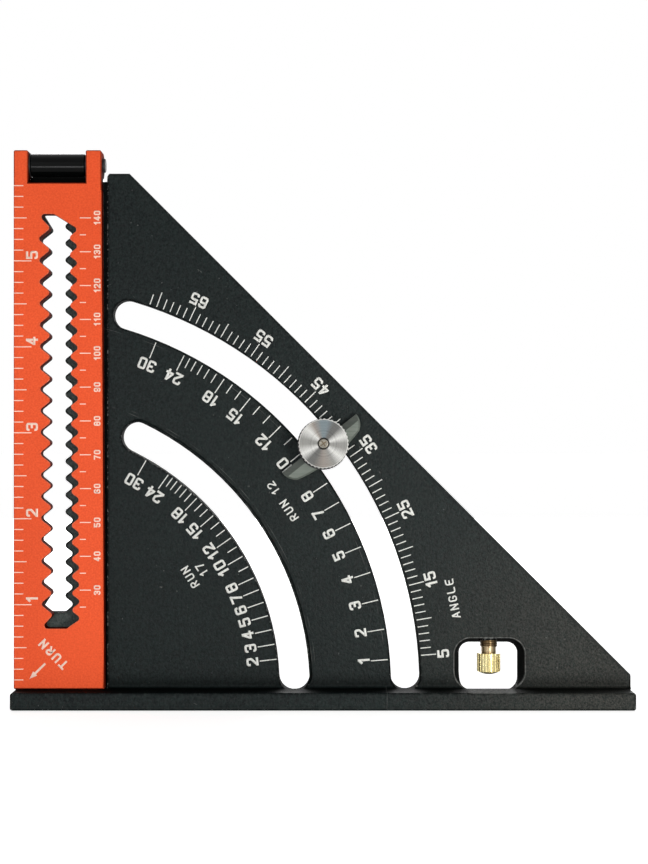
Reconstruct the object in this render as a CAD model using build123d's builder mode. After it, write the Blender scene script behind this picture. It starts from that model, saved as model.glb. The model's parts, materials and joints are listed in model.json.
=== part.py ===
from build123d import *
import os
from math import atan, ceil, cos, degrees, floor, radians, sin, sqrt, tan

# A folding carpenter square, in millimetres. It stands on its fence with +Z up and its marked
# face towards -Y. The origin is the middle of the fence's underside, under the plate's mid-plane.

# Fence: a lip in front of the plate and a thinner one behind it
fence_length = 182.9
fence_thickness = 5.2
fence_rear_thickness = 3.0
fence_reach = 9.0
fence_edge_radius = 0.6
fence_end_radius = 0.8

# Triangular plate, about six inches tall above the fence, with a 45 degree sloping side
plate_thickness = 5.5
plate_toe = 4.1
plate_top_flat = 6.6
plate_edge_chamfer = 0.4
plate_corner_run = 0.6
plate_corner_drop = 1.0
root_fillet = 1.2
bevel_angle = 45

# Recessed strip along the heel, which the arm folds into
strip_thickness = 4.0

# Hinge at the head of the strip
hinge_rise = 2.475
shoulder_drop = 4.75
barrel_radius = 3.5
barrel_edge_chamfer = 0.3
knuckle_radius = 4.0
knuckle_stop_gap = 0.05
pin_diameter = 3.0
pin_running_clearance = 0.05
pin_press_clearance = 0.01
pin_head_diameter = 4.2
pin_head_height = 0.85
pin_head_radius = 0.4
hinge_washer_diameter = 6.8
hinge_washer_thickness = 0.3
hinge_side_clearance = 0.04

# Folding arm
arm_thickness = 4.45
arm_seat_gap = 0.05
arm_end_gap = 0.3
arm_free_width = 26.7
arm_taper = 0.8
arm_side_gap = 0.6
arm_edge_chamfer = 0.3
left_ear_width = 4.25
right_ear_width = 4.6
ear_corner_radius = 0.5
arm_notch_drop = 5.65

# Scribing slots through the arm and the strip: quarter inch notches on the left edge and
# five millimetre notches on the right edge
inch_pitch = 6.35
metric_pitch = 5.0
notch_radius = 0.95
arm_slot_bottom = 18.1
arm_head_length = 9.225
arm_slot_lean = 0.4
arm_inch_valley = 7.45
arm_inch_tip = 11.35
arm_metric_valley = 19.65
arm_metric_tip = 16.45
arm_floor_end = 15.2
arm_roof_end = 12.3
strip_slot_bottom = 22.5
strip_head_length = 7.825
strip_inch_valley = 6.75
strip_inch_tip = 10.75
strip_metric_valley = 17.3
strip_metric_tip = 14.05
strip_slot_end = 14.4
notch_end_margin = 1.5
arm_roof_margin = 4.2

# Arc slots, centred on the heel corner where the plate's left edge meets the fence
slope_web = 11.88
outer_slot_width = 8.6
outer_slot_start_angle = 1.8
outer_slot_end_angle = 73.3
slot_spacing = 33.08
inner_slot_width = 9.0
inner_slot_start_angle = 2.5
inner_slot_end_angle = 64.2
slot_edge_chamfer = 0.35
inner_rebate_depth = 0.45
inner_rebate_drift = 0.45

# Window beside the toe, flared towards the front
window_web = 10.05
window_width = 21.2
window_height = 15.05
window_corner = 5.0
window_back_corner = 4.0
window_flare = 1.85
window_sill_drop = 1.2

# Thumb screw that hangs from a boss over the middle of the window
screw_head_diameter = 7.05
screw_head_height = 5.4
screw_dome_height = 1.0
screw_neck_diameter = 4.4
screw_neck_length = 1.9
screw_thread_diameter = 5.0
screw_thread_length = 5.2
screw_thread_clearance = 0.05
screw_show = 2.15
screw_hole_spare = 1.0
screw_knurl_count = 24
screw_knurl_radius = 0.3
screw_setback = 0.6
boss_drop = 0.75
boss_height = 5.75

# Angle stop in the outer slot: rear block, stud, front pointer, washer and knob
stop_angle = 38.5
stop_chord = 28.0
stop_bow = 6.0
stop_edge_lead = 0.8
stop_inner_reach = 14.0
stop_shoulder_run = 2.5
stop_shoulder_rise = 4.5
stop_corner_run = 0.5
stop_corner_rise = 2.4
stop_face_gap = 0.05
stop_edge_chamfer = 0.5
pointer_thickness = 2.4
pointer_bevel_run = 1.9
pointer_bevel_rise = 0.6
block_thickness = 9.0
key_clearance = 0.15
key_height = 4.8
key_half_angle = 1.4
stud_offset = 1.0
stud_diameter = 3.2
stud_running_clearance = 0.08
stud_hole_clearance = 0.15
stud_recess = 0.5
stud_end_radius = 0.45
stud_head_diameter = 7.0
stud_head_height = 2.8
stud_head_clearance = 0.1
knob_diameter = 14.7
knob_height = 6.6
knob_edge_chamfer = 0.35
knob_hole_chamfer = 0.15
knob_knurl_count = 40
knob_knurl_radius = 0.45
washer_diameter = 15.0
washer_thickness = 0.8
washer_hole_diameter = 4.6
washer_sag = 0.35
washer_sag_angle = 235.0

# Depths measured towards the front from the plate's mid-plane
plate_front = plate_thickness / 2
plate_back = -plate_thickness / 2
strip_front = plate_back + strip_thickness
arm_back = strip_front + arm_seat_gap
arm_front = arm_back + arm_thickness
hinge_depth = (arm_front + plate_back) / 2
fence_front = plate_front + fence_reach
fence_back = plate_back - fence_reach
pointer_back = plate_front + stop_face_gap
washer_back = pointer_back + pointer_thickness
knob_back = washer_back + washer_thickness
knob_front = knob_back + knob_height
block_front = plate_back - stop_face_gap
block_back = block_front - block_thickness

# Widths of the arm and of the recess that it folds into
arm_hinge_width = arm_free_width - arm_taper
recess_width = arm_free_width + arm_side_gap

# Heights above the fence's front lip
plate_height = plate_toe + fence_length - recess_width - plate_top_flat
hinge_height = plate_height + hinge_rise
fence_floor = -fence_thickness
rear_lip = fence_rear_thickness - fence_thickness
plate_foot = fence_floor + fence_rear_thickness / 2
strip_height = hinge_height - shoulder_drop
pad_height = hinge_height - knuckle_radius - knuckle_stop_gap
foot_height = hinge_height - hinge_washer_diameter / 2 - knuckle_stop_gap
arm_notch_floor = hinge_height - arm_notch_drop
arm_top = hinge_height + knuckle_radius
arm_slot_top = arm_notch_floor - arm_head_length
strip_slot_top = strip_height - strip_head_length
window_back_top = window_height - window_flare
boss_floor = window_height - boss_drop
thread_floor = boss_floor - screw_show
thread_top = thread_floor + screw_thread_length
screw_head_top = thread_floor - screw_neck_length
screw_head_floor = screw_head_top - screw_head_height

# Widths measured from the heel's left edge, and radii measured from the heel corner
slope_top = recess_width + plate_top_flat
slope_distance = (fence_length + plate_toe) / sqrt(2)
outer_slot_radius = slope_distance - slope_web - outer_slot_width / 2
inner_slot_radius = outer_slot_radius - slot_spacing
window_left = outer_slot_radius + outer_slot_width / 2 + window_web
window_middle = window_left + window_width / 2
screw_position = window_middle
notch_left = left_ear_width
notch_right = arm_hinge_width - right_ear_width
hinge_gap = hinge_washer_thickness + 2 * hinge_side_clearance
barrel_left = notch_left + hinge_gap
barrel_right = notch_right - hinge_gap
foot_left = notch_left + hinge_side_clearance
foot_right = notch_right - hinge_side_clearance
boss_radius = plate_front + screw_setback
screw_point = (screw_position, screw_setback)

# Planes: heel looks at the front with its corner as origin, side looks along +X from the heel,
# and stop is heel turned so that its X axis runs out along the stop's radius
heel_corner = (-fence_length / 2, 0, fence_thickness)
heel = Plane(origin=heel_corner, x_dir=(1, 0, 0), z_dir=(0, -1, 0))
side = Plane(origin=heel_corner, x_dir=(0, -1, 0), z_dir=(-1, 0, 0))
floor_plane = Plane(origin=heel_corner, x_dir=(1, 0, 0), z_dir=(0, 0, 1))
stop_radial = (cos(radians(stop_angle)), 0, sin(radians(stop_angle)))
stop = Plane(origin=heel_corner, x_dir=stop_radial, z_dir=(0, -1, 0))
stud_radius = outer_slot_radius + stud_offset
stud_point = (stud_radius, 0)
hinge_axis = Axis((0, -hinge_depth, fence_thickness + hinge_height), (1, 0, 0))


def inch_edge(valley, tip, bottom, top):
    first = ceil(bottom / inch_pitch)
    last = floor(top / inch_pitch)
    points = [(valley, bottom)]
    for notch in range(first, last):
        points.append((tip, (notch + 0.5) * inch_pitch))
        points.append((valley, (notch + 1) * inch_pitch))
    points[-1] = (valley, top)
    return points


def metric_edge(valley, tip, low, high, shift):
    first = ceil((low - shift) / metric_pitch)
    last = floor((high - shift) / metric_pitch)
    points = [(valley, shift + first * metric_pitch)]
    for notch in range(first, last):
        points.append((tip, shift + (notch + 0.5) * metric_pitch))
        points.append((valley, shift + (notch + 1) * metric_pitch))
    return points


def notched_outline(inch_points, metric_points, floor_point, roof_point):
    return inch_points + [roof_point] + metric_points[::-1] + [floor_point]


def leaning(points, middle, angle):
    return [(x + (middle - height) * tan(radians(angle)), height) for x, height in points]


def arc_slot(radius, width, start, end):
    return SlotArc(Edge.make_circle(radius, start_angle=start, end_angle=end), width)


def stop_outline():
    # Half-moon: a straight reading edge along the radius and a bow on the clockwise side
    inner = outer_slot_radius - stop_inner_reach
    outer = inner + stop_chord
    middle = inner + stop_chord / 2
    edge = stop_edge_lead
    Line((outer, edge), (inner, edge))
    ThreePointArc(
        (inner, edge),
        (inner + stop_corner_run, edge - stop_corner_rise),
        (inner + stop_shoulder_run, edge - stop_shoulder_rise),
    )
    ThreePointArc(
        (inner + stop_shoulder_run, edge - stop_shoulder_rise),
        (middle, edge - stop_bow),
        (outer - stop_shoulder_run, edge - stop_shoulder_rise),
    )
    ThreePointArc(
        (outer - stop_shoulder_run, edge - stop_shoulder_rise),
        (outer - stop_corner_run, edge - stop_corner_rise),
        (outer, edge),
    )


# The arm's notches are set so that, swung up, they carry on the plate's five millimetre steps
arm_metric_shift = (2 * hinge_height) % metric_pitch
arm_slot_points = notched_outline(
    inch_edge(arm_inch_valley, arm_inch_tip, arm_slot_bottom, arm_slot_top),
    metric_edge(
        arm_metric_valley,
        arm_metric_tip,
        arm_slot_bottom + notch_end_margin,
        arm_slot_top - arm_roof_margin,
        arm_metric_shift,
    ),
    (arm_floor_end, arm_slot_bottom),
    (arm_roof_end, arm_slot_top),
)
strip_slot_points = notched_outline(
    inch_edge(strip_inch_valley, strip_inch_tip, strip_slot_bottom, strip_slot_top),
    metric_edge(
        strip_metric_valley,
        strip_metric_tip,
        strip_slot_bottom + notch_end_margin,
        strip_slot_top - notch_end_margin,
        0,
    ),
    (strip_slot_end, strip_slot_bottom),
    (strip_slot_end, strip_slot_top),
)

# Fence, rounded along its lips and at its ends; it is cast in one with the plate below
with BuildPart() as fence:
    with BuildSketch(side) as fence_section:
        with BuildLine():
            Polyline(
                (fence_front, fence_floor),
                (fence_front, 0),
                (plate_front, 0),
                (plate_front, rear_lip),
                (fence_back, rear_lip),
                (fence_back, fence_floor),
                close=True,
            )
        make_face()
        outer_corners = fence_section.vertices().group_by(Axis.X)
        fillet(outer_corners[0] + outer_corners[-1], fence_edge_radius)
    extrude(amount=-fence_length)
    with BuildSketch(heel.offset(fence_back)):
        with Locations((fence_length / 2, fence_floor / 2)):
            RectangleRounded(fence_length, fence_thickness, fence_end_radius)
    extrude(amount=fence_front - fence_back, mode=Mode.INTERSECT)

# Square body: plate, strip, fence, hinge barrel and screw boss in one casting
with BuildPart() as square_body:
    # Strip and plate share their back face
    with BuildSketch(heel.offset(plate_back)):
        with BuildLine():
            Polyline(
                (0, plate_foot),
                (fence_length, plate_foot),
                (fence_length, plate_toe),
                (slope_top, plate_height),
                (recess_width + plate_corner_run, plate_height),
                (recess_width, plate_height - plate_corner_drop),
                (recess_width, strip_height),
                (0, strip_height),
                close=True,
            )
        make_face()
    extrude(amount=strip_thickness)
    with BuildSketch(heel.offset(strip_front)):
        with BuildLine():
            Polyline(
                (0, plate_foot),
                (fence_length, plate_foot),
                (fence_length, plate_toe),
                (slope_top, plate_height),
                (recess_width + plate_corner_run, plate_height),
                (recess_width, plate_height - plate_corner_drop),
                (recess_width, 0),
                (0, 0),
                close=True,
            )
        make_face()
    extrude(amount=plate_front - strip_front)
    slope_edges = square_body.edges().filter_by(Axis((0, 0, 0), (1, 0, -1)))
    top_edges = square_body.edges().filter_by(Axis.X).group_by(Axis.Z)[-1]
    chamfer(slope_edges + top_edges, plate_edge_chamfer)

    # Concave roots between the plate and the fence's two lips
    with BuildSketch(side.offset(-recess_width)):
        with BuildLine():
            Polyline((plate_front, root_fillet), (plate_front, 0), (plate_front + root_fillet, 0))
            RadiusArc((plate_front + root_fillet, 0), (plate_front, root_fillet), root_fillet)
        make_face()
    extrude(amount=-(fence_length - recess_width))
    with BuildSketch(side):
        with BuildLine():
            Polyline(
                (plate_back, rear_lip + root_fillet),
                (plate_back, rear_lip),
                (plate_back - root_fillet, rear_lip),
            )
            RadiusArc(
                (plate_back - root_fillet, rear_lip),
                (plate_back, rear_lip + root_fillet),
                -root_fillet,
            )
        make_face()
    extrude(amount=-fence_length)

    # Arc slots with chamfered front edges
    slot_depth = plate_thickness + 2 * root_fillet
    with BuildSketch(heel.offset(plate_back - root_fillet)):
        arc_slot(outer_slot_radius, outer_slot_width, outer_slot_start_angle, outer_slot_end_angle)
        arc_slot(inner_slot_radius, inner_slot_width, inner_slot_start_angle, inner_slot_end_angle)
    extrude(amount=slot_depth, mode=Mode.SUBTRACT)
    with BuildSketch(heel.offset(plate_front)):
        arc_slot(
            outer_slot_radius,
            outer_slot_width + 2 * slot_edge_chamfer,
            outer_slot_start_angle,
            outer_slot_end_angle,
        )
    extrude(amount=-slot_edge_chamfer, taper=bevel_angle, mode=Mode.SUBTRACT)

    # The inner slot's bevel is cut about a centre that drifts outwards, so it is widest outside
    with BuildSketch(heel.offset(plate_front)):
        with Locations((inner_rebate_drift, inner_rebate_drift)):
            arc_slot(
                inner_slot_radius,
                inner_slot_width + 2 * inner_rebate_depth,
                inner_slot_start_angle,
                inner_slot_end_angle,
            )
    extrude(amount=-inner_rebate_depth, taper=bevel_angle, mode=Mode.SUBTRACT)

    # Notched slot through the strip
    with BuildSketch(heel.offset(plate_back)) as strip_slot:
        with BuildLine():
            Polyline(*strip_slot_points, close=True)
        make_face()
        fillet(strip_slot.vertices(), notch_radius)
    extrude(amount=strip_thickness, mode=Mode.SUBTRACT)

    # Window: a straight opening, flared towards the front, with the root cut away before it
    with BuildSketch(heel.offset(plate_back - root_fillet)):
        with Locations((window_middle, (window_back_top - window_sill_drop) / 2)):
            RectangleRounded(
                window_width - 2 * window_flare,
                window_back_top + window_sill_drop,
                window_back_corner,
            )
    extrude(amount=slot_depth, mode=Mode.SUBTRACT)
    with BuildSketch(heel.offset(plate_front)):
        with Locations((window_middle, window_height / 2)):
            RectangleRounded(window_width, window_height, window_corner)
    flare_angle = degrees(atan(window_flare / plate_thickness))
    extrude(amount=-plate_thickness, taper=flare_angle, mode=Mode.SUBTRACT)
    with BuildSketch(heel.offset(plate_front)):
        with Locations((window_middle, window_height / 2)):
            RectangleRounded(window_width, window_height, window_corner)
    extrude(amount=root_fillet, mode=Mode.SUBTRACT)

    # Boss over the window for the thumb screw, closed by a cone
    with BuildSketch(floor_plane.offset(boss_floor)):
        with Locations(screw_point):
            Circle(boss_radius)
    extrude(amount=boss_height)
    with BuildSketch(floor_plane.offset(boss_floor + boss_height)):
        with Locations(screw_point):
            Circle(boss_radius)
    extrude(amount=boss_radius + screw_setback - plate_front, taper=bevel_angle)

    # Tapped hole in the boss
    with BuildSketch(floor_plane.offset(screw_head_top)):
        with Locations(screw_point):
            Circle(screw_thread_diameter / 2 + screw_thread_clearance)
    extrude(amount=thread_top + screw_hole_spare - screw_head_top, mode=Mode.SUBTRACT)

    add(fence.part)

    # Stop pad under the ears, foot under the washers, and web and barrel of the hinge
    with BuildSketch(heel.offset(plate_back)):
        with BuildLine():
            Polyline(
                (0, strip_height),
                (arm_hinge_width, strip_height),
                (arm_hinge_width, pad_height),
                (foot_right, pad_height),
                (foot_right, foot_height),
                (foot_left, foot_height),
                (foot_left, pad_height),
                (0, pad_height),
                close=True,
            )
        make_face()
    extrude(amount=strip_thickness)
    with BuildSketch(heel.offset(hinge_depth - barrel_radius)):
        with BuildLine():
            Polyline(
                (barrel_left + barrel_edge_chamfer, strip_height),
                (barrel_right - barrel_edge_chamfer, strip_height),
                (barrel_right - barrel_edge_chamfer, hinge_height),
                (barrel_left + barrel_edge_chamfer, hinge_height),
                close=True,
            )
        make_face()
    extrude(amount=strip_front - hinge_depth + barrel_radius)
    barrel_top = hinge_height + barrel_radius
    with BuildSketch(heel.offset(hinge_depth)):
        with BuildLine():
            Polyline(
                (barrel_left, hinge_height),
                (barrel_left, barrel_top - barrel_edge_chamfer),
                (barrel_left + barrel_edge_chamfer, barrel_top),
                (barrel_right - barrel_edge_chamfer, barrel_top),
                (barrel_right, barrel_top - barrel_edge_chamfer),
                (barrel_right, hinge_height),
                close=True,
            )
        make_face()
    revolve(axis=hinge_axis)
    with BuildSketch(side.offset(-barrel_left)):
        with Locations((hinge_depth, hinge_height)):
            Circle(pin_diameter / 2 + pin_running_clearance)
    extrude(amount=-(barrel_right - barrel_left), mode=Mode.SUBTRACT)
square_body.part.label = "square_body"

# Folding arm: ruler plate with two hinge ears
with BuildPart() as folding_arm:
    # Side profile: a flat arm with a knuckle that is square in front and round behind
    with BuildSketch(side):
        with BuildLine():
            Polyline(
                (arm_back, arm_end_gap),
                (arm_front, arm_end_gap),
                (arm_front, arm_top),
                (hinge_depth, arm_top),
                (hinge_depth, hinge_height),
                (arm_back, hinge_height),
                close=True,
            )
        make_face()
        with Locations((hinge_depth, hinge_height)):
            Circle(knuckle_radius)
    extrude(amount=-arm_free_width)

    # Front outline, with the gap between the ears for the barrel
    with BuildSketch(heel.offset(hinge_depth - knuckle_radius)) as arm_outline:
        with BuildLine():
            Polyline(
                (0, arm_end_gap),
                (arm_free_width, arm_end_gap),
                (arm_hinge_width, arm_notch_floor),
                (arm_hinge_width, arm_top),
                (notch_right, arm_top),
                (notch_right, arm_notch_floor),
                (notch_left, arm_notch_floor),
                (notch_left, arm_top),
                (0, arm_top),
                close=True,
            )
        make_face()
        fillet(arm_outline.vertices().group_by(Axis.Y)[-1], ear_corner_radius)
    extrude(amount=arm_front - hinge_depth + knuckle_radius, mode=Mode.INTERSECT)
    front_rim = folding_arm.faces().filter_by(Axis.Y).sort_by(Axis.Y)[0].outer_wire().edges()
    chamfer(front_rim, arm_edge_chamfer)

    # Scribing slot, leaning a little towards the heel at its head
    with BuildSketch(heel.offset(arm_back)) as arm_slot:
        with BuildLine():
            slot_middle = (arm_slot_bottom + arm_slot_top) / 2
            Polyline(*leaning(arm_slot_points, slot_middle, arm_slot_lean), close=True)
        make_face()
        fillet(arm_slot.vertices(), notch_radius)
    extrude(amount=arm_thickness, mode=Mode.SUBTRACT)

    # Pin bore through both ears
    with BuildSketch(side):
        with Locations((hinge_depth, hinge_height)):
            Circle(pin_diameter / 2 + pin_press_clearance)
    extrude(amount=-arm_hinge_width, mode=Mode.SUBTRACT)
folding_arm.part.label = "folding_arm"

# Hinge pin, flush at the left ear and headed at the right one
with BuildPart() as hinge_pin:
    with BuildSketch(side):
        with Locations((hinge_depth, hinge_height)):
            Circle(pin_diameter / 2)
    extrude(amount=-arm_hinge_width)
    with BuildSketch(side.offset(-arm_hinge_width)):
        with Locations((hinge_depth, hinge_height)):
            Circle(pin_head_diameter / 2)
    extrude(amount=-pin_head_height)
    fillet(hinge_pin.faces().sort_by(Axis.X)[-1].edges(), pin_head_radius)
hinge_pin.part.label = "hinge_pin"


def hinge_washer(left):
    with BuildPart() as washer:
        with BuildSketch(side.offset(-left)):
            with Locations((hinge_depth, hinge_height)):
                Circle(hinge_washer_diameter / 2)
                Circle(pin_diameter / 2 + pin_running_clearance, mode=Mode.SUBTRACT)
        extrude(amount=-hinge_washer_thickness)
    return washer


# Thin washers between the ears and the barrel
hinge_washer_left = hinge_washer(notch_left + hinge_side_clearance)
hinge_washer_left.part.label = "hinge_washer_left"
hinge_washer_right = hinge_washer(notch_right - hinge_side_clearance - hinge_washer_thickness)
hinge_washer_right.part.label = "hinge_washer_right"

# Stop block behind the plate, with a curved key in the slot and a pocket for the stud's head
with BuildPart() as stop_block:
    with BuildSketch(stop.offset(block_front)):
        with BuildLine():
            stop_outline()
        make_face()
    extrude(amount=-block_thickness)
    rear_rim = stop_block.faces().sort_by(Axis.Y)[-1].edges()
    chamfer(rear_rim, stop_edge_chamfer)
    with BuildSketch(stop.offset(block_front)):
        arc_slot(
            outer_slot_radius,
            outer_slot_width - 2 * key_clearance,
            -key_half_angle,
            key_half_angle,
        )
    extrude(amount=key_height + stop_face_gap)
    with BuildSketch(stop.offset(block_back)):
        with Locations(stud_point):
            Circle(stud_diameter / 2 + pin_press_clearance)
    extrude(amount=block_thickness + stop_face_gap + key_height, mode=Mode.SUBTRACT)
    with BuildSketch(stop.offset(block_back)):
        with Locations(stud_point):
            Circle(stud_head_diameter / 2 + stud_head_clearance)
    extrude(amount=stud_head_height, mode=Mode.SUBTRACT)
stop_block.part.label = "stop_block"

# Stud from the block's pocket, through the slot, to just inside the knob's face
with BuildPart() as stop_stud:
    with BuildSketch(stop.offset(block_back)):
        with Locations(stud_point):
            Circle(stud_head_diameter / 2)
    extrude(amount=stud_head_height)
    with BuildSketch(stop.offset(block_back + stud_head_height)):
        with Locations(stud_point):
            Circle(stud_diameter / 2)
    extrude(amount=knob_front - stud_recess - block_back - stud_head_height)
    fillet(stop_stud.faces().sort_by(Axis.Y)[0].edges(), stud_end_radius)
stop_stud.part.label = "stop_stud"

# Pointer plate in front
with BuildPart() as stop_pointer:
    with BuildSketch(stop.offset(pointer_back)):
        with BuildLine():
            stop_outline()
        make_face()
    extrude(amount=pointer_thickness)
    front_rim = stop_pointer.faces().sort_by(Axis.Y)[0].edges()
    reading_edge = front_rim.filter_by(GeomType.LINE)
    chamfer(reading_edge, pointer_bevel_rise, pointer_bevel_run)
    bow_edges = stop_pointer.faces().sort_by(Axis.Y)[0].edges().filter_by(GeomType.LINE, reverse=True)
    chamfer(bow_edges, stop_edge_chamfer)
    with BuildSketch(stop.offset(pointer_back)):
        with Locations(stud_point):
            Circle(stud_diameter / 2 + stud_hole_clearance)
    extrude(amount=pointer_thickness, mode=Mode.SUBTRACT)
stop_pointer.part.label = "stop_pointer"

# Loose washer, which hangs a little off the stud's axis
with BuildPart() as knob_washer:
    sag_direction = radians(washer_sag_angle - stop_angle)
    washer_point = (
        stud_radius + washer_sag * cos(sag_direction),
        washer_sag * sin(sag_direction),
    )
    with BuildSketch(stop.offset(washer_back)):
        with Locations(washer_point):
            Circle(washer_diameter / 2)
            Circle(washer_hole_diameter / 2, mode=Mode.SUBTRACT)
    extrude(amount=washer_thickness)
knob_washer.part.label = "knob_washer"

# Knurled knob
with BuildPart() as thumb_knob:
    with BuildSketch(stop.offset(knob_back)):
        with Locations(stud_point):
            Circle(knob_diameter / 2)
    extrude(amount=knob_height)
    knob_rims = thumb_knob.edges().filter_by(GeomType.CIRCLE)
    chamfer(knob_rims, knob_edge_chamfer)
    with BuildSketch(stop.offset(knob_back)):
        with Locations(stud_point):
            with PolarLocations(knob_diameter / 2 + knob_knurl_radius / 2, knob_knurl_count):
                Circle(knob_knurl_radius)
    extrude(amount=knob_height, mode=Mode.SUBTRACT)
    with BuildSketch(stop.offset(knob_back)):
        with Locations(stud_point):
            Circle(stud_diameter / 2 + stud_running_clearance)
    extrude(amount=knob_height, mode=Mode.SUBTRACT)
    knob_hole_rim = thumb_knob.faces().filter_by(Axis.Y).sort_by(Axis.Y)[0].inner_wires()[0]
    chamfer(knob_hole_rim.edges(), knob_hole_chamfer)
thumb_knob.part.label = "thumb_knob"

# Brass thumb screw: domed and knurled head, neck and thread
with BuildPart() as thumb_screw:
    screw_plane = Plane(
        origin=(heel_corner[0] + screw_position, screw_setback, fence_thickness),
        x_dir=(1, 0, 0),
        z_dir=(0, -1, 0),
    )
    head_radius = screw_head_diameter / 2
    with BuildSketch(screw_plane):
        with BuildLine():
            dome_radius = (screw_dome_height**2 + head_radius**2) / (2 * screw_dome_height)
            RadiusArc(
                (0, screw_head_floor - screw_dome_height),
                (head_radius, screw_head_floor),
                -dome_radius,
            )
            Polyline(
                (head_radius, screw_head_floor),
                (head_radius, screw_head_top),
                (screw_neck_diameter / 2, screw_head_top),
                (screw_neck_diameter / 2, thread_floor),
                (screw_thread_diameter / 2, thread_floor),
                (screw_thread_diameter / 2, thread_top),
                (0, thread_top),
                (0, screw_head_floor - screw_dome_height),
            )
        make_face()
    revolve(axis=Axis(screw_plane.origin, (0, 0, 1)))
    with BuildSketch(floor_plane.offset(screw_head_floor - screw_dome_height)):
        with Locations(screw_point):
            with PolarLocations(head_radius + screw_knurl_radius / 2, screw_knurl_count):
                Circle(screw_knurl_radius)
    extrude(amount=screw_dome_height + screw_head_height, mode=Mode.SUBTRACT)
thumb_screw.part.label = "thumb_screw"

os.makedirs("parts", exist_ok=True)
for piece in (
    square_body,
    folding_arm,
    hinge_pin,
    hinge_washer_left,
    hinge_washer_right,
    stop_block,
    stop_stud,
    stop_pointer,
    knob_washer,
    thumb_knob,
    thumb_screw,
):
    export_step(piece.part, f"parts/{piece.part.label}.step")
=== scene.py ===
import json
from math import atan, cos, pi, radians, sin

import bmesh
import bpy
from mathutils import Matrix, Vector


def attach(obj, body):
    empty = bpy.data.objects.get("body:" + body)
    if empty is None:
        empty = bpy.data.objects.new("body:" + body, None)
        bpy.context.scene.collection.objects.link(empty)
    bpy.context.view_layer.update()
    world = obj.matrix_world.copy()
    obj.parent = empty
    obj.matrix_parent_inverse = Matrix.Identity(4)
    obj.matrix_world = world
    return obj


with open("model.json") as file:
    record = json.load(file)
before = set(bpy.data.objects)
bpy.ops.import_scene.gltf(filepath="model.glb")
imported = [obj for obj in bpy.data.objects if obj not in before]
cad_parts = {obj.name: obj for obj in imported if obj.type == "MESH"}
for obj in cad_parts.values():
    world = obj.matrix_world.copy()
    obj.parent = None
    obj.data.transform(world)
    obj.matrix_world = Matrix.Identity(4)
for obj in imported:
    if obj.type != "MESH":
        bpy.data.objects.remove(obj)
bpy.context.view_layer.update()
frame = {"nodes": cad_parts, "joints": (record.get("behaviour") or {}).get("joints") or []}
nodes = frame["nodes"]
joints = {joint["name"]: joint for joint in frame["joints"]}
scene = bpy.context.scene
scene.view_settings.view_transform = "Standard"
print("square loaded:", len(nodes), "solids")

# The stop swings round the heel corner, and the knob and the thumb screw turn about their own middles
heel = Vector(joints["stop_swing"]["pos_m"])
stud = Vector(joints["knob_turn"]["pos_m"])
screw = Vector(joints["screw_turn"]["pos_m"])
millimetre = 0.001
# Front faces, in millimetres forward of the mid-plane
square = {"plateFront": 2.75, "armFront": 5.75}


def frontPlace(forward):
    # drawings made flat, in millimetres from the heel corner, stand up on the square's front
    corner = Vector((heel.x, -forward * millimetre, heel.z))
    return Matrix.Translation(corner) @ Matrix.Rotation(pi / 2, 4, "X") @ Matrix.Scale(millimetre, 4)


# Small helpers that the finishes are built from
white = (1, 1, 1)
noiseSpan = (0.3, 0.7)  # where most of a noise lies


def newFinish(name):
    material = bpy.data.materials.new(name)
    material.use_nodes = True
    tree = material.node_tree
    return material, tree, tree.nodes["Principled BSDF"]


def feed(tree, socket, value):
    # a number or a colour is set on the socket, and anything else is linked to it
    if isinstance(value, (int, float)):
        socket.default_value = value
    elif isinstance(value, tuple):
        socket.default_value = (*value, 1.0)
    else:
        tree.links.new(value, socket)


def grain(tree, scale, detail=2.0, turn=(0, 0, 0), rough=0.5):
    # noise on object coordinates, stretched by a scale per metre
    place = tree.nodes.new("ShaderNodeTexCoord")
    mapping = tree.nodes.new("ShaderNodeMapping")
    mapping.inputs["Scale"].default_value = scale
    mapping.inputs["Rotation"].default_value = turn
    noise = tree.nodes.new("ShaderNodeTexNoise")
    noise.inputs["Scale"].default_value = 1.0
    noise.inputs["Detail"].default_value = detail
    noise.inputs["Roughness"].default_value = rough
    tree.links.new(place.outputs["Object"], mapping.inputs["Vector"])
    tree.links.new(mapping.outputs["Vector"], noise.inputs["Vector"])
    return noise.outputs["Fac"]


def ramp(tree, value, stops):
    node = tree.nodes.new("ShaderNodeValToRGB")
    elements = node.color_ramp.elements
    while len(elements) < len(stops):
        elements.new(0.5)
    for element, (position, colour) in zip(elements, stops):
        element.position = position
        element.color = (*colour, 1.0)
    tree.links.new(value, node.inputs["Fac"])
    return node.outputs["Color"]


def twoTone(tree, value, tones, span=noiseSpan):
    return ramp(tree, value, list(zip(span, tones)))


def rangeOf(tree, value, low, high, span=noiseSpan):
    node = tree.nodes.new("ShaderNodeMapRange")
    node.inputs["From Min"].default_value = span[0]
    node.inputs["From Max"].default_value = span[1]
    node.inputs["To Min"].default_value = low
    node.inputs["To Max"].default_value = high
    tree.links.new(value, node.inputs["Value"])
    return node.outputs["Result"]


def blendColour(tree, amount, first, second, mode="MIX"):
    node = tree.nodes.new("ShaderNodeMix")
    node.data_type = "RGBA"
    node.blend_type = mode
    for index, value in ((0, amount), (6, first), (7, second)):
        feed(tree, node.inputs[index], value)
    return node.outputs[2]


def tint(tree, colour, tone):
    return blendColour(tree, 1.0, colour, tone, "MULTIPLY")


def blendValue(tree, amount, first, second):
    node = tree.nodes.new("ShaderNodeMix")
    for index, value in ((0, amount), (2, first), (3, second)):
        feed(tree, node.inputs[index], value)
    return node.outputs[0]


def mathNode(tree, operation, *values):
    node = tree.nodes.new("ShaderNodeMath")
    node.operation = operation
    for socket, value in zip(node.inputs, values):
        feed(tree, socket, value)
    return node.outputs[0]


def times(tree, first, second):
    return mathNode(tree, "MULTIPLY", first, second)


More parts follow.
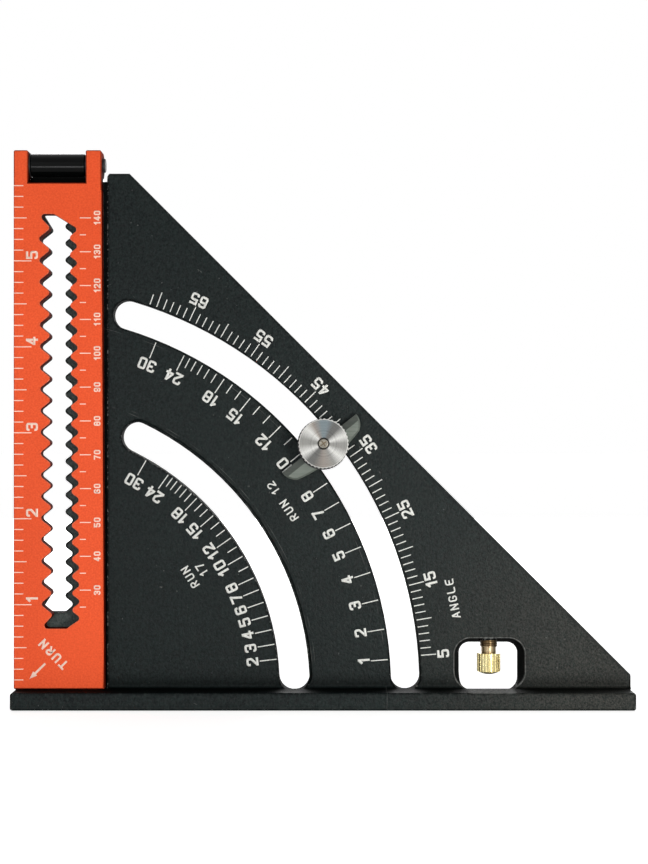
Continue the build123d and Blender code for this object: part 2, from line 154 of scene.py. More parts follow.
def vectorOf(tree, *values):
    node = tree.nodes.new("ShaderNodeCombineXYZ")
    for socket, value in zip(node.inputs, values):
        feed(tree, socket, value)
    return node.outputs["Vector"]


def vectorMath(tree, operation, vector, other=None):
    node = tree.nodes.new("ShaderNodeVectorMath")
    node.operation = operation
    tree.links.new(vector, node.inputs[0])
    if other is not None:
        node.inputs[1].default_value = other
    return node.outputs["Value" if operation in ("LENGTH", "DOT_PRODUCT") else "Vector"]


def coordinates(tree, kind):
    # X, Y and Z of a point, or of the way that its face looks
    place = tree.nodes.new("ShaderNodeTexCoord")
    split = tree.nodes.new("ShaderNodeSeparateXYZ")
    tree.links.new(place.outputs[kind], split.inputs["Vector"])
    return split.outputs


def aboutAxis(tree, centre):
    # coordinates turned so that the axis through centre, which runs front to back, is Z
    place = tree.nodes.new("ShaderNodeTexCoord")
    mapping = tree.nodes.new("ShaderNodeMapping")
    mapping.vector_type = "TEXTURE"
    mapping.inputs["Location"].default_value = centre
    mapping.inputs["Rotation"].default_value = (pi / 2, 0, 0)
    tree.links.new(place.outputs["Object"], mapping.inputs["Vector"])
    return mapping.outputs["Vector"]


def fromAxis(tree, vector):
    split = tree.nodes.new("ShaderNodeSeparateXYZ")
    tree.links.new(vector, split.inputs["Vector"])
    return vectorMath(tree, "LENGTH", vectorOf(tree, split.outputs["X"], split.outputs["Y"], 0))


def relief(tree, shader, height, strength, depth):
    node = tree.nodes.new("ShaderNodeBump")
    node.inputs["Strength"].default_value = strength
    node.inputs["Distance"].default_value = depth
    tree.links.new(height, node.inputs["Height"])
    tree.links.new(node.outputs["Normal"], shader.inputs["Normal"])


def linkFinish(tree, shader, colour, roughness, sheen=None):
    tree.links.new(colour, shader.inputs["Base Color"])
    tree.links.new(roughness, shader.inputs["Roughness"])
    if sheen is not None:
        tree.links.new(sheen, shader.inputs["Specular Tint"])


# Where painted shade and wear begin and end, by how open a spot is and by how much a face looks to the
# front
wear = {
    "samples": 8,
    "wallSpan": (0.6, 0.95),
    "nearSpan": (0.7, 0.95),
    "hollowSpan": (0.4, 0.95),
    "hollowShadeSheen": 0.1,
    "edgeSpan": (0.6, 0.97),
    "rubSpan": (0.55, 0.8),
}


def openness(tree, reach, inside=False, alone=True):
    # 1 in the open, and less in corners and gaps, or with inside, less along outer edges
    node = tree.nodes.new("ShaderNodeAmbientOcclusion")
    node.only_local = alone
    node.inside = inside
    node.samples = wear["samples"]
    node.inputs["Distance"].default_value = reach
    return node.outputs["AO"]


def wallFaces(tree):
    # 0 on faces that look straight to the front or back, 1 on walls and edges
    facing = mathNode(tree, "ABSOLUTE", coordinates(tree, "Normal")["Y"])
    return rangeOf(tree, facing, 1, 0, wear["wallSpan"])


def shadedWalls(tree, reach):
    # 1 on walls that have something near them, such as those of an opening, where painted shade darkens
    # them
    near = openness(tree, reach, alone=False)
    return times(tree, wallFaces(tree), rangeOf(tree, near, 1, 0, wear["nearSpan"]))


def wornCoat(tree, shader, coat, colour, fine, shaded, wall):
    # painted shade: shaded walls are darkened, hollows are darker still and lose their sheen, and outer
    # edges are darkened; walls are matt, and outer edges are rubbed through
    colour = blendColour(tree, shaded, colour, tint(tree, colour, coat["wall"]))
    hollowShade = openness(tree, coat["hollowReach"])
    colour = tint(tree, colour, twoTone(tree, hollowShade, (coat["hollowShade"], white), wear["hollowSpan"]))
    edge = openness(tree, coat["edgeReach"], inside=True)
    edgeShade = rangeOf(tree, edge, coat["edgeShade"], 1, wear["edgeSpan"])
    colour = tint(tree, colour, edgeShade)
    rubbed = rangeOf(tree, fine, 0, coat["edgeWear"], coat["edgeBreak"])
    rubbed = times(tree, rubbed, rangeOf(tree, edge, 1, 0, wear["rubSpan"]))
    colour = blendColour(tree, rubbed, colour, coat["edge"])
    roughness = blendValue(tree, wall, rangeOf(tree, fine, *coat["roughness"]), coat["wallRoughness"])
    shader.inputs["Specular IOR Level"].default_value = coat["gloss"]
    sheen = blendValue(tree, wall, 1.0, coat["wallSheen"])
    sheen = times(tree, sheen, rangeOf(tree, hollowShade, wear["hollowShadeSheen"], 1, wear["hollowSpan"]))
    return colour, roughness, times(tree, sheen, edgeShade)


# Black anodising over a finely cast and lightly brushed face; the hinge barrel is turned and polished
blackCoat = {
    "tones": ((0.0003, 0.0024, 0.0026), (0.0066, 0.0118, 0.0114)),
    "cast": {"scale": (1150, 1150, 900), "detail": 4.0, "rough": 0.62},
    "castSpan": (0.36, 0.66),
    "brush": {"scale": (2300, 2300, 90), "detail": 3.0},
    "brushTones": ((0.86, 0.86, 0.86), (1.12, 1.12, 1.12)),
    "cloud": {"scale": (45, 45, 45), "detail": 3.0},
    "cloudTones": ((0.86, 0.87, 0.88), (1.12, 1.11, 1.10)),
    "speck": {"scale": (900, 900, 800)},
    "speckSpan": (0.745, 0.80),
    "speckAmount": 0.5,
    "speckTone": (0.15, 0.155, 0.15),
    "leather": {"scale": (2100, 2100, 1700), "detail": 3.0, "rough": 0.6},
    "leatherSpan": (0.36, 0.64),
    "relief": (0.9, 0.00022),
    "roughness": (0.42, 0.56),
    "gloss": 0.17,
    "sheenGrain": (0.5, 1.0),
    # painted shade: walls of the openings are darkened and lose their sheen
    "wall": (0.15, 0.15, 0.15),
    "wallReach": 0.030,
    "wallRoughness": 1.0,
    "wallSheen": 0.0,
    "wallHeight": 0.5,
    # painted shade in hollows
    "hollowShade": (0.25, 0.25, 0.25),
    "hollowReach": 0.006,
    # rubbed edges, and the painted highlight along the window's outline
    "edge": (0.17, 0.175, 0.17),
    "edgeReach": 0.0009,
    "edgeWear": 0.7,
    "edgeBreak": (0.53, 0.62),
    # painted shade along outer edges
    "edgeShade": 0.2,
    "rubs": (0.0885, 0.0894, 0.1102),
    "rubWidth": 0.00011,
    "rubTone": (0.075, 0.078, 0.075),
    "rubGrain": {"scale": (130, 130, 130), "detail": 3.0},
    "rubBreak": (0.48, 0.62),
    # painted sheen, lighter towards the fence's right end
    "paintedSheen": (0.034, 0.033, 0.028),
    "paintedSheenMiddle": (0.080, 0.0, 0.004),
    "paintedSheenReach": 0.062,
    "paintedSheenAmount": (0.12, 0.75),
    # painted light on the strip behind the arm
    "stripPaintedLight": (0.10, 0.12, 0.114),
    "stripFloor": 0.0056,
    "windowMiddle": (0.049549, 0.0, 0.012725),
    "windowHalf": (0.0106, 1.0, 0.007525),
    "windowCorner": 0.005,
    # painted highlight along the window's outline
    "windowHighlightWidth": 0.0003,
    "windowHighlightAmount": (0.45, 1.0),
    "windowHighlightBreak": (0.4, 0.6),
    "hingeRight": -0.0655,
    "hingeFloor": 0.1530,
    "barrelFloor": 0.1572,
    # the barrel's darker polished tone, which on the foot under it is painted shade
    "barrelTone": (0.0015, 0.0018, 0.0018),
    "barrelRoughness": 0.19,
    "barrelSheen": 0.39,
    "barrelGrain": 0.06,
    "footShadeSheen": 0.05,
}


def hingeMasks(tree):
    # 1 on the hinge barrel and its foot, then 1 on the barrel alone, and then 1 on the strip below them
    point = coordinates(tree, "Object")
    left = mathNode(tree, "LESS_THAN", point["X"], blackCoat["hingeRight"])
    heights = (blackCoat["hingeFloor"], blackCoat["barrelFloor"])
    above = [mathNode(tree, "GREATER_THAN", point["Z"], height) for height in heights]
    below = mathNode(tree, "LESS_THAN", point["Z"], blackCoat["hingeFloor"])
    below = times(tree, below, mathNode(tree, "GREATER_THAN", point["Z"], blackCoat["stripFloor"]))
    return [times(tree, left, part) for part in (*above, below)]


def rubMarks(tree):
    # broken arcs round the heel corner, where the stop has rubbed along the slots
    radius = fromAxis(tree, aboutAxis(tree, heel))
    broken = rangeOf(tree, grain(tree, **blackCoat["rubGrain"]), 0, 1, blackCoat["rubBreak"])
    marks = 0.0
    for rub in blackCoat["rubs"]:
        away = mathNode(tree, "ABSOLUTE", mathNode(tree, "SUBTRACT", radius, rub))
        marks = mathNode(tree, "MAXIMUM", marks, rangeOf(tree, away, 1, 0, (0, blackCoat["rubWidth"])))
    return times(tree, marks, broken)


def windowEdge(tree):
    # distance from the rounded outline of the window
    corner = blackCoat["windowCorner"]
    inner = tuple(half - corner for half in blackCoat["windowHalf"])
    point = tree.nodes.new("ShaderNodeTexCoord").outputs["Object"]
    point = vectorMath(tree, "ABSOLUTE", vectorMath(tree, "SUBTRACT", point, blackCoat["windowMiddle"]))
    point = vectorMath(tree, "MAXIMUM", vectorMath(tree, "SUBTRACT", point, inner), (0, 0, 0))
    away = mathNode(tree, "SUBTRACT", vectorMath(tree, "LENGTH", point), corner)
    return mathNode(tree, "ABSOLUTE", away)


def blackAnodised():
    material, tree, shader = newFinish("blackAnodised")
    cast = grain(tree, **blackCoat["cast"])
    colour = twoTone(tree, cast, blackCoat["tones"], blackCoat["castSpan"])
    for layer in ("brush", "cloud"):
        noise = grain(tree, **blackCoat[layer])
        colour = tint(tree, colour, twoTone(tree, noise, blackCoat[layer + "Tones"]))
    speck = grain(tree, **blackCoat["speck"])
    specks = rangeOf(tree, speck, 0, blackCoat["speckAmount"], blackCoat["speckSpan"])
    colour = blendColour(tree, specks, colour, blackCoat["speckTone"])
    # painted sheen: a lighter tone towards the fence's right end, where a lamp's sheen would fall, and a
    # painted lighter tone on the strip behind the arm
    leather = grain(tree, **blackCoat["leather"])
    away = fromAxis(tree, aboutAxis(tree, blackCoat["paintedSheenMiddle"]))
    paintedSheenMask = rangeOf(tree, away, 1, 0, (0, blackCoat["paintedSheenReach"]))
    paintedSheenMask = times(tree, paintedSheenMask, rangeOf(tree, leather, *blackCoat["paintedSheenAmount"], blackCoat["leatherSpan"]))
    colour = blendColour(tree, paintedSheenMask, colour, blackCoat["paintedSheen"])
    hinge, barrel, strip = hingeMasks(tree)
    # painted light: the strip seen through the arm's slot is lightened
    colour = blendColour(tree, times(tree, strip, leather), colour, blackCoat["stripPaintedLight"])
    shaded = shadedWalls(tree, blackCoat["wallReach"])
    colour, roughness, sheen = wornCoat(tree, shader, blackCoat, colour, cast, shaded, shaded)
    colour = blendColour(tree, rubMarks(tree), colour, blackCoat["rubTone"])
    # painted highlight: a thin light line along the window's outline, broken by the cast noise
    windowHighlight = rangeOf(tree, windowEdge(tree), 1, 0, (0, blackCoat["windowHighlightWidth"]))
    broken = rangeOf(tree, cast, *blackCoat["windowHighlightAmount"], blackCoat["windowHighlightBreak"])
    colour = blendColour(tree, times(tree, windowHighlight, broken), colour, blackCoat["edge"])
    sheenGrain = rangeOf(tree, leather, *blackCoat["sheenGrain"], blackCoat["leatherSpan"])
    sheen = times(tree, sheen, sheenGrain)
    # the barrel is a darker polished black; the foot under it gets the same tone and loses its sheen, as
    # painted shade
    colour = blendColour(tree, hinge, colour, blackCoat["barrelTone"])
    roughness = blendValue(tree, hinge, roughness, blackCoat["barrelRoughness"])
    sheen = blendValue(tree, hinge, sheen, blackCoat["footShadeSheen"])
    sheen = blendValue(tree, barrel, sheen, blackCoat["barrelSheen"])
    linkFinish(tree, shader, colour, roughness, sheen)
    height = blendValue(tree, shaded, cast, blackCoat["wallHeight"])
    height = blendValue(tree, hinge, height, times(tree, cast, blackCoat["barrelGrain"]))
    relief(tree, shader, height, *blackCoat["relief"])
    return material


# Orange anodising over a blasted face
orangeCoat = {
    "tones": ((0.76, 0.085, 0.026), (0.86, 0.112, 0.035)),
    "blast": {"scale": (1900, 1900, 1900), "detail": 3.0},
    "blastSpan": (0.34, 0.66),
    "cloud": {"scale": (38, 38, 22), "detail": 3.0},
    "cloudTones": ((0.95, 0.93, 0.92), (1.04, 1.06, 1.06)),
    "relief": (0.3, 0.00004),
    "roughness": (0.36, 0.50),
    "gloss": 0.06,
    # painted shade on walls and in hollows
    "wall": (0.12, 0.06, 0.07),
    "wallReach": 0.012,
    "wallRoughness": 0.9,
    "wallSheen": 0.3,
    "hollowShade": (0.12, 0.08, 0.10),
    "hollowReach": 0.007,
    "edge": (0.80, 0.27, 0.17),
    "edgeReach": 0.0006,
    "edgeWear": 0.45,
    "edgeBreak": (0.44, 0.56),
    "edgeShade": 0.9,
    "earSideShade": (0.30, 0.24, 0.24),
    "earFloor": 0.1530,
}


def orangeAnodised():
    material, tree, shader = newFinish("orangeAnodised")
    blast = grain(tree, **orangeCoat["blast"])
    cloud = grain(tree, **orangeCoat["cloud"])
    colour = twoTone(tree, blast, orangeCoat["tones"], orangeCoat["blastSpan"])
    colour = tint(tree, colour, twoTone(tree, cloud, orangeCoat["cloudTones"]))
    # painted shade: only walls with something close in front of them are darkened
    shaded = shadedWalls(tree, orangeCoat["wallReach"])
    wall = wallFaces(tree)
    colour, roughness, sheen = wornCoat(tree, shader, orangeCoat, colour, blast, shaded, wall)
    # painted shade: the sides of the hinge ears are darkened, so the corners of their fronts read square
    ears = mathNode(tree, "GREATER_THAN", coordinates(tree, "Object")["Z"], orangeCoat["earFloor"])
    dull = tint(tree, colour, orangeCoat["earSideShade"])
    colour = blendColour(tree, times(tree, wall, ears), colour, dull)
    linkFinish(tree, shader, colour, roughness, sheen)
    relief(tree, shader, blast, *orangeCoat["relief"])
    return material


# Grey anodising on the pointer, with painted shade on the bevel along its reading edge, set by which way
# each face leans
greyCoat = {
    "tones": ((0.090, 0.107, 0.092), (0.134, 0.153, 0.134)),
    "angle": radians(38.5),
    "brush": {"scale": (60, 1800, 1800), "detail": 3.0},
    "bevel": (0.42, 0.42, 0.42),
    "bevelSpan": (0.1, 0.25),
    "relief": (0.2, 0.00002),
    "roughness": (0.34, 0.46),
    "metallic": 0.25,
    "gloss": 0.35,
}


def greyAnodised():
    material, tree, shader = newFinish("greyAnodised")
    angle = greyCoat["angle"]
    brush = grain(tree, **greyCoat["brush"], turn=(0, angle, 0))
    colour = twoTone(tree, brush, greyCoat["tones"])
    facing = tree.nodes.new("ShaderNodeTexCoord").outputs["Normal"]
    lean = vectorMath(tree, "DOT_PRODUCT", facing, (-sin(angle), 0, cos(angle)))
    bevel = rangeOf(tree, lean, 0, 1, greyCoat["bevelSpan"])
    colour = blendColour(tree, bevel, colour, tint(tree, colour, greyCoat["bevel"]))
    linkFinish(tree, shader, colour, rangeOf(tree, brush, *greyCoat["roughness"]))
    shader.inputs["Metallic"].default_value = greyCoat["metallic"]
    shader.inputs["Specular IOR Level"].default_value = greyCoat["gloss"]
    relief(tree, shader, brush, *greyCoat["relief"])
    return material


# Turned face of the knob: fine rings, and painted reflections, the bright and dull rays round the knob that
# stand in for how its rings reflect light
paintedRayTones = {
    "bright": (0.50, 0.50, 0.485),
    "plain": (0.20, 0.20, 0.19),
    "dull": (0.094, 0.094, 0.091),
    "blue": (0.132, 0.163, 0.178),
    "rose": (0.205, 0.182, 0.163),
}
knobFace = {
    "rays": [
        (2, "plain"), (20, "bright"), (46, "dull"), (62, "dull"), (80, "blue"), (96, "blue"), (118, "rose"),
        (138, "bright"), (166, "plain"), (182, "plain"), (206, "bright"), (227, "dull"), (242, "dull"),
        (270, "rose"), (300, "plain"), (322, "bright"), (347, "plain"),
    ],
    "ringsPerMetre": 9000,
    "ringDetail": 2.0,
    "ringTones": ((0.93, 0.93, 0.93), (1.06, 1.06, 1.06)),
    # painted highlight on the knurled rim
    "rimHighlightSpan": (0.00685, 0.00705),
    "rimHighlight": (0.58, 0.58, 0.56),
    "relief": (0.08, 0.00002),
    "roughness": (0.26, 0.38),
    "metallic": 0.55,
}


def turnedAluminium():
    material, tree, shader = newFinish("turnedAluminium")
    vector = aboutAxis(tree, (stud.x, 0.0, stud.z))
    around = tree.nodes.new("ShaderNodeTexGradient")
    around.gradient_type = "RADIAL"
    tree.links.new(vector, around.inputs["Vector"])
    # the gradient starts at the left, so half a turn is added to each ray's angle from the right
    rays = sorted(((angle / 360 + 0.5) % 1.0, paintedRayTones[tone]) for angle, tone in knobFace["rays"])
    seam = tuple((first + last) / 2 for first, last in zip(rays[0][1], rays[-1][1]))
    colour = ramp(tree, around.outputs["Fac"], [(0.0, seam)] + rays + [(1.0, seam)])
    radius = fromAxis(tree, vector)
    rings = tree.nodes.new("ShaderNodeTexNoise")
    rings.noise_dimensions = "1D"
    rings.inputs["Scale"].default_value = knobFace["ringsPerMetre"]
    rings.inputs["Detail"].default_value = knobFace["ringDetail"]
    tree.links.new(radius, rings.inputs["W"])
    colour = tint(tree, colour, twoTone(tree, rings.outputs["Fac"], knobFace["ringTones"]))
    # painted highlight: the rim is lightened all round
    rimHighlight = rangeOf(tree, radius, 0, 1, knobFace["rimHighlightSpan"])
    colour = blendColour(tree, rimHighlight, colour, knobFace["rimHighlight"])
    linkFinish(tree, shader, colour, rangeOf(tree, rings.outputs["Fac"], *knobFace["roughness"]))
    shader.inputs["Metallic"].default_value = knobFace["metallic"]
    relief(tree, shader, rings.outputs["Fac"], *knobFace["relief"])
    return material


# Turned brass of the thumb screw; its neck is painted darker, standing in for the dark reflections it
# shows, and darker still, as painted shade, where it enters the boss
brassTone = {
    "tarnish": {"scale": (260, 260, 160)},
    "tarnishStops": [(0.28, (0.36, 0.28, 0.105)), (0.46, (0.50, 0.42, 0.19)), (0.66, (0.60, 0.54, 0.30))],
    "turned": {"scale": (300, 300, 4200), "detail": 3.0},
    "turnedTones": ((0.9, 0.89, 0.87), (1.05, 1.05, 1.05)),
    "hollowShade": (0.34, 0.26, 0.16),
    "hollowReach": 0.0016,
    "hollowSpan": (0.4, 0.9),
    "neckShade": (0.56, 0.50, 0.58),
    "neckShadeSpan": (0.0153, 0.0156),
    "shade": (0.26, 0.21, 0.15),
    "shadeSpan": (0.0174, 0.0179),
    "relief": (0.2, 0.00002),
    "roughness": (0.24, 0.36),
    "metallic": 0.8,
}


def turnedBrass():
    material, tree, shader = newFinish("turnedBrass")
    turned = grain(tree, **brassTone["turned"])
    tarnish = grain(tree, **brassTone["tarnish"])
    colour = ramp(tree, tarnish, brassTone["tarnishStops"])
    colour = tint(tree, colour, twoTone(tree, turned, brassTone["turnedTones"]))
    # painted shade in the screw's hollows
    hollowShade = openness(tree, brassTone["hollowReach"])
    hollowShadeTones = (brassTone["hollowShade"], white)
    colour = tint(tree, colour, twoTone(tree, hollowShade, hollowShadeTones, brassTone["hollowSpan"]))
    height = coordinates(tree, "Object")["Z"]
    for tone in ("neckShade", "shade"):
        above = rangeOf(tree, height, 0, 1, brassTone[tone + "Span"])
        colour = blendColour(tree, above, colour, tint(tree, colour, brassTone[tone]))
    linkFinish(tree, shader, colour, rangeOf(tree, turned, *brassTone["roughness"]))
    shader.inputs["Metallic"].default_value = brassTone["metallic"]
    relief(tree, shader, turned, *brassTone["relief"])
    return material


# Plain metals, each with its dark and light tones, its roughness and how metallic it is
plainMetals = {
    "wornSteel": (((0.10, 0.095, 0.08), (0.21, 0.195, 0.165)), (0.34, 0.46), 0.85),
    "tarnishedBrass": (((0.03, 0.017, 0.006), (0.09, 0.057, 0.021)), (0.32, 0.45), 0.85),
    "blackenedSteel": (((0.012, 0.012, 0.013), (0.034, 0.034, 0.035)), (0.55, 0.7), 0.5),
}
metalGrain = {
    "cloud": {"scale": (500, 500, 500)},
    "fine": {"scale": (2100, 2100, 2100), "detail": 3.0},
    "fineTones": ((0.88, 0.88, 0.88), (1.08, 1.08, 1.08)),
    "relief": (0.2, 0.00002),
}


def plainMetal(name):
    material, tree, shader = newFinish(name)
    tones, roughness, metallic = plainMetals[name]
    fine = grain(tree, **metalGrain["fine"])
    colour = twoTone(tree, grain(tree, **metalGrain["cloud"]), tones)
    colour = tint(tree, colour, twoTone(tree, fine, metalGrain["fineTones"]))
    linkFinish(tree, shader, colour, rangeOf(tree, fine, *roughness))
    shader.inputs["Metallic"].default_value = metallic
    relief(tree, shader, fine, *metalGrain["relief"])
    return material


# Ink on the black plate, and ink that lets some of the orange through
inkTones = {
    "plateInk": ((0.60, 0.61, 0.585), (0.765, 0.77, 0.745)),
    "armInk": ((0.87, 0.61, 0.50), (0.97, 0.71, 0.60)),
}
inkWear = {
    "grain": {"scale": (1700, 1700, 1700), "detail": 3.0},
    "span": (0.3, 0.62),
    "relief": (0.15, 0.00001),
    "roughness": (0.5, 0.65),
    "gloss": 0.2,
}


def paleInk(name):
    material, tree, shader = newFinish(name)
    worn = grain(tree, **inkWear["grain"])
    colour = twoTone(tree, worn, inkTones[name], inkWear["span"])
    linkFinish(tree, shader, colour, rangeOf(tree, worn, *inkWear["roughness"]))
    shader.inputs["Specular IOR Level"].default_value = inkWear["gloss"]
    relief(tree, shader, worn, *inkWear["relief"])
    return material


black = blackAnodised()
orange = orangeAnodised()
grey = greyAnodised()
knobMetal = turnedAluminium()
brass = turnedBrass()
steel = plainMetal("wornSteel")
threadBrass = plainMetal("tarnishedBrass")
darkSteel = plainMetal("blackenedSteel")
plateInk = paleInk("plateInk")
armInk = paleInk("armInk")

finishes = {
    "square_body": black,
    "folding_arm": orange,
    "hinge_pin": darkSteel,
    "hinge_washer_left": darkSteel,
    "hinge_washer_right": darkSteel,
    "stop_block": black,
    "stop_stud": steel,
    "stop_pointer": grey,
    "knob_washer": darkSteel,
    "thumb_knob": knobMetal,
    "thumb_screw": brass,
}
for name, material in finishes.items():
    nodes[name].data.materials.clear()
    nodes[name].data.materials.append(material)
print("finishes on", len(finishes), "solids")


# Node trees for what repeats: ticks along an edge, ticks round an arc, drawn strokes, and a thread


def newTree(name, sizes, counts=(), drawn=False):
    # named inputs for the sizes, the counts and the finish, and for a drawing if the tree takes one
    tree = bpy.data.node_groups.new(name, "GeometryNodeTree")
    inputs = [("Geometry", "NodeSocketGeometry")] if drawn else []
    inputs += [(label, "NodeSocketInt") for label in counts]
    inputs += [(label, "NodeSocketFloat") for label in sizes]
    inputs.append(("Material", "NodeSocketMaterial"))
    for label, kind in inputs:
        tree.interface.new_socket(label, in_out="INPUT", socket_type=kind)
    tree.interface.new_socket("Geometry", in_out="OUTPUT", socket_type="NodeSocketGeometry")
    return tree, tree.nodes.new("NodeGroupInput"), tree.nodes.new("NodeGroupOutput")


def pick(tree, choice, whenFalse, whenTrue):
    node = tree.nodes.new("GeometryNodeSwitch")
    node.input_type = "FLOAT"
    tree.links.new(choice, node.inputs["Switch"])
    tree.links.new(whenFalse, node.inputs["False"])
    tree.links.new(whenTrue, node.inputs["True"])
    return node.outputs["Output"]


def everyNth(tree, step, nth):
    return mathNode(tree, "LESS_THAN", mathNode(tree, "MODULO", step, nth), 0.5)


def barOnPoints(tree, group, points, length, angle=None):
    # a bar that starts at each point and runs along X, turned by angle
    bar = tree.nodes.new("GeometryNodeMeshCube")
    shift = tree.nodes.new("GeometryNodeTransform")
    shift.inputs["Translation"].default_value = (0.5, 0, 0)
    spread = tree.nodes.new("GeometryNodeInstanceOnPoints")
    tree.links.new(bar.outputs["Mesh"], shift.inputs["Geometry"])
    tree.links.new(points, spread.inputs["Points"])
    tree.links.new(shift.outputs["Geometry"], spread.inputs["Instance"])
    size = vectorOf(tree, length, group.outputs["Width"], group.outputs["Thickness"])
    tree.links.new(size, spread.inputs["Scale"])
    if angle is not None:
        tree.links.new(vectorOf(tree, 0, 0, angle), spread.inputs["Rotation"])
    return spread.outputs["Instances"]


def sweepCurve(tree, curve, profile):
    sweep = tree.nodes.new("GeometryNodeCurveToMesh")
    sweep.inputs["Fill Caps"].default_value = True
    tree.links.new(curve, sweep.inputs["Curve"])
    tree.links.new(profile, sweep.inputs["Profile Curve"])
    return sweep.outputs["Mesh"]


def finishTree(tree, group, result, geometry):
    real = tree.nodes.new("GeometryNodeRealizeInstances")
    paint = tree.nodes.new("GeometryNodeSetMaterial")
    tree.links.new(geometry, real.inputs["Geometry"])
    tree.links.new(real.outputs["Geometry"], paint.inputs["Geometry"])
    tree.links.new(group.outputs["Material"], paint.inputs["Material"])
    tree.links.new(paint.outputs["Geometry"], result.inputs["Geometry"])
    return tree


def edgeTickTree():
    sizes = ["Pitch", "Start", "Short", "Middle", "Long", "MiddleEvery", "LongEvery", "Width", "Thickness"]
    tree, group, result = newTree("edgeTicks", sizes, ["Count", "First"])
    index = tree.nodes.new("GeometryNodeInputIndex").outputs["Index"]
    step = mathNode(tree, "ADD", index, group.outputs["First"])
    isMiddle = everyNth(tree, step, group.outputs["MiddleEvery"])
    isLong = everyNth(tree, step, group.outputs["LongEvery"])
    length = pick(tree, isMiddle, group.outputs["Short"], group.outputs["Middle"])
    length = pick(tree, isLong, length, group.outputs["Long"])
    line = tree.nodes.new("GeometryNodeMeshLine")
    firstUp = times(tree, group.outputs["First"], group.outputs["Pitch"])
    tree.links.new(group.outputs["Count"], line.inputs["Count"])
    tree.links.new(vectorOf(tree, group.outputs["Start"], firstUp, 0), line.inputs["Start Location"])
    tree.links.new(vectorOf(tree, 0, group.outputs["Pitch"], 0), line.inputs["Offset"])
    bars = barOnPoints(tree, group, line.outputs["Mesh"], length)
    return finishTree(tree, group, result, bars)


def arcTickTree():
    # each point carries its angle in X and its length in Y
    tree, group, result = newTree("arcTicks", ["Radius", "Inward", "Width", "Thickness"], drawn=True)
    position = tree.nodes.new("GeometryNodeInputPosition")
    keep = tree.nodes.new("GeometryNodeCaptureAttribute")
    keep.capture_items.new("VECTOR", "Tick")
    tree.links.new(group.outputs["Geometry"], keep.inputs["Geometry"])
    tree.links.new(position.outputs["Position"], keep.inputs["Tick"])
    split = tree.nodes.new("ShaderNodeSeparateXYZ")
    tree.links.new(keep.outputs["Tick"], split.inputs["Vector"])
    angle = split.outputs["X"]
    length = split.outputs["Y"]
    inset = times(tree, length, group.outputs["Inward"])
    radius = mathNode(tree, "SUBTRACT", group.outputs["Radius"], inset)
    right = times(tree, radius, mathNode(tree, "COSINE", angle))
    up = times(tree, radius, mathNode(tree, "SINE", angle))
    move = tree.nodes.new("GeometryNodeSetPosition")
    tree.links.new(keep.outputs["Geometry"], move.inputs["Geometry"])
    tree.links.new(vectorOf(tree, right, up, 0), move.inputs["Position"])
    bars = barOnPoints(tree, group, move.outputs["Geometry"], length, angle)
    return finishTree(tree, group, result, bars)


def strokeTree():
    sizes = ["Corner", "Width", "Thickness"]
    tree, group, result = newTree("drawnStrokes", sizes, ["CornerSteps"], drawn=True)
    path = tree.nodes.new("GeometryNodeMeshToCurve")
    soften = tree.nodes.new("GeometryNodeFilletCurve")
    soften.mode = "POLY"
    soften.inputs["Limit Radius"].default_value = True
    lie = tree.nodes.new("GeometryNodeSetCurveNormal")
    lie.mode = "Z_UP"
    nib = tree.nodes.new("GeometryNodeCurvePrimitiveQuadrilateral")
    tree.links.new(group.outputs["Geometry"], path.inputs["Mesh"])
    tree.links.new(path.outputs["Curve"], soften.inputs["Curve"])
    tree.links.new(group.outputs["Corner"], soften.inputs["Radius"])
    tree.links.new(group.outputs["CornerSteps"], soften.inputs["Count"])
    tree.links.new(soften.outputs["Curve"], lie.inputs["Curve"])
    tree.links.new(group.outputs["Width"], nib.inputs["Width"])
    tree.links.new(group.outputs["Thickness"], nib.inputs["Height"])
    swept = sweepCurve(tree, lie.outputs["Curve"], nib.outputs["Curve"])
    return finishTree(tree, group, result, swept)


def threadTree():
    sizes = ["Turns", "Radius", "Height", "Ridge"]
    tree, group, result = newTree("screwThread", sizes, ["StepsPerTurn", "RidgeSides"])
    spiral = tree.nodes.new("GeometryNodeCurveSpiral")
    ridge = tree.nodes.new("GeometryNodeCurvePrimitiveCircle")
    tree.links.new(group.outputs["StepsPerTurn"], spiral.inputs["Resolution"])
    tree.links.new(group.outputs["Turns"], spiral.inputs["Rotations"])
    tree.links.new(group.outputs["Radius"], spiral.inputs["Start Radius"])
    tree.links.new(group.outputs["Radius"], spiral.inputs["End Radius"])
    tree.links.new(group.outputs["Height"], spiral.inputs["Height"])
    tree.links.new(group.outputs["RidgeSides"], ridge.inputs["Resolution"])
    tree.links.new(group.outputs["Ridge"], ridge.inputs["Radius"])
    swept = sweepCurve(tree, spiral.outputs["Curve"], ridge.outputs["Curve"])
    return finishTree(tree, group, result, swept)


trees = {"edge": edgeTickTree(), "arc": arcTickTree(), "stroke": strokeTree(), "thread": threadTree()}


def runTree(tree, values, vertices=(), edges=()):
    # evaluates a tree on a few points or lines, and gives back a plain mesh
    source = bpy.data.meshes.new("drawing")
    source.from_pydata(list(vertices) or [(0, 0, 0)], list(edges), [])
    holder = bpy.data.objects.new("drawing", source)
    scene.collection.objects.link(holder)
    modifier = holder.modifiers.new("drawing", "NODES")
    modifier.node_group = tree
    sockets = {item.name: item.identifier for item in tree.interface.items_tree if item.in_out == "INPUT"}
    for label, value in values.items():
        modifier[sockets[label]] = value
    depsgraph = bpy.context.evaluated_depsgraph_get()
    mesh = bpy.data.meshes.new_from_object(holder.evaluated_get(depsgraph))
    bpy.data.objects.remove(holder)
    bpy.data.meshes.remove(source)
    return mesh


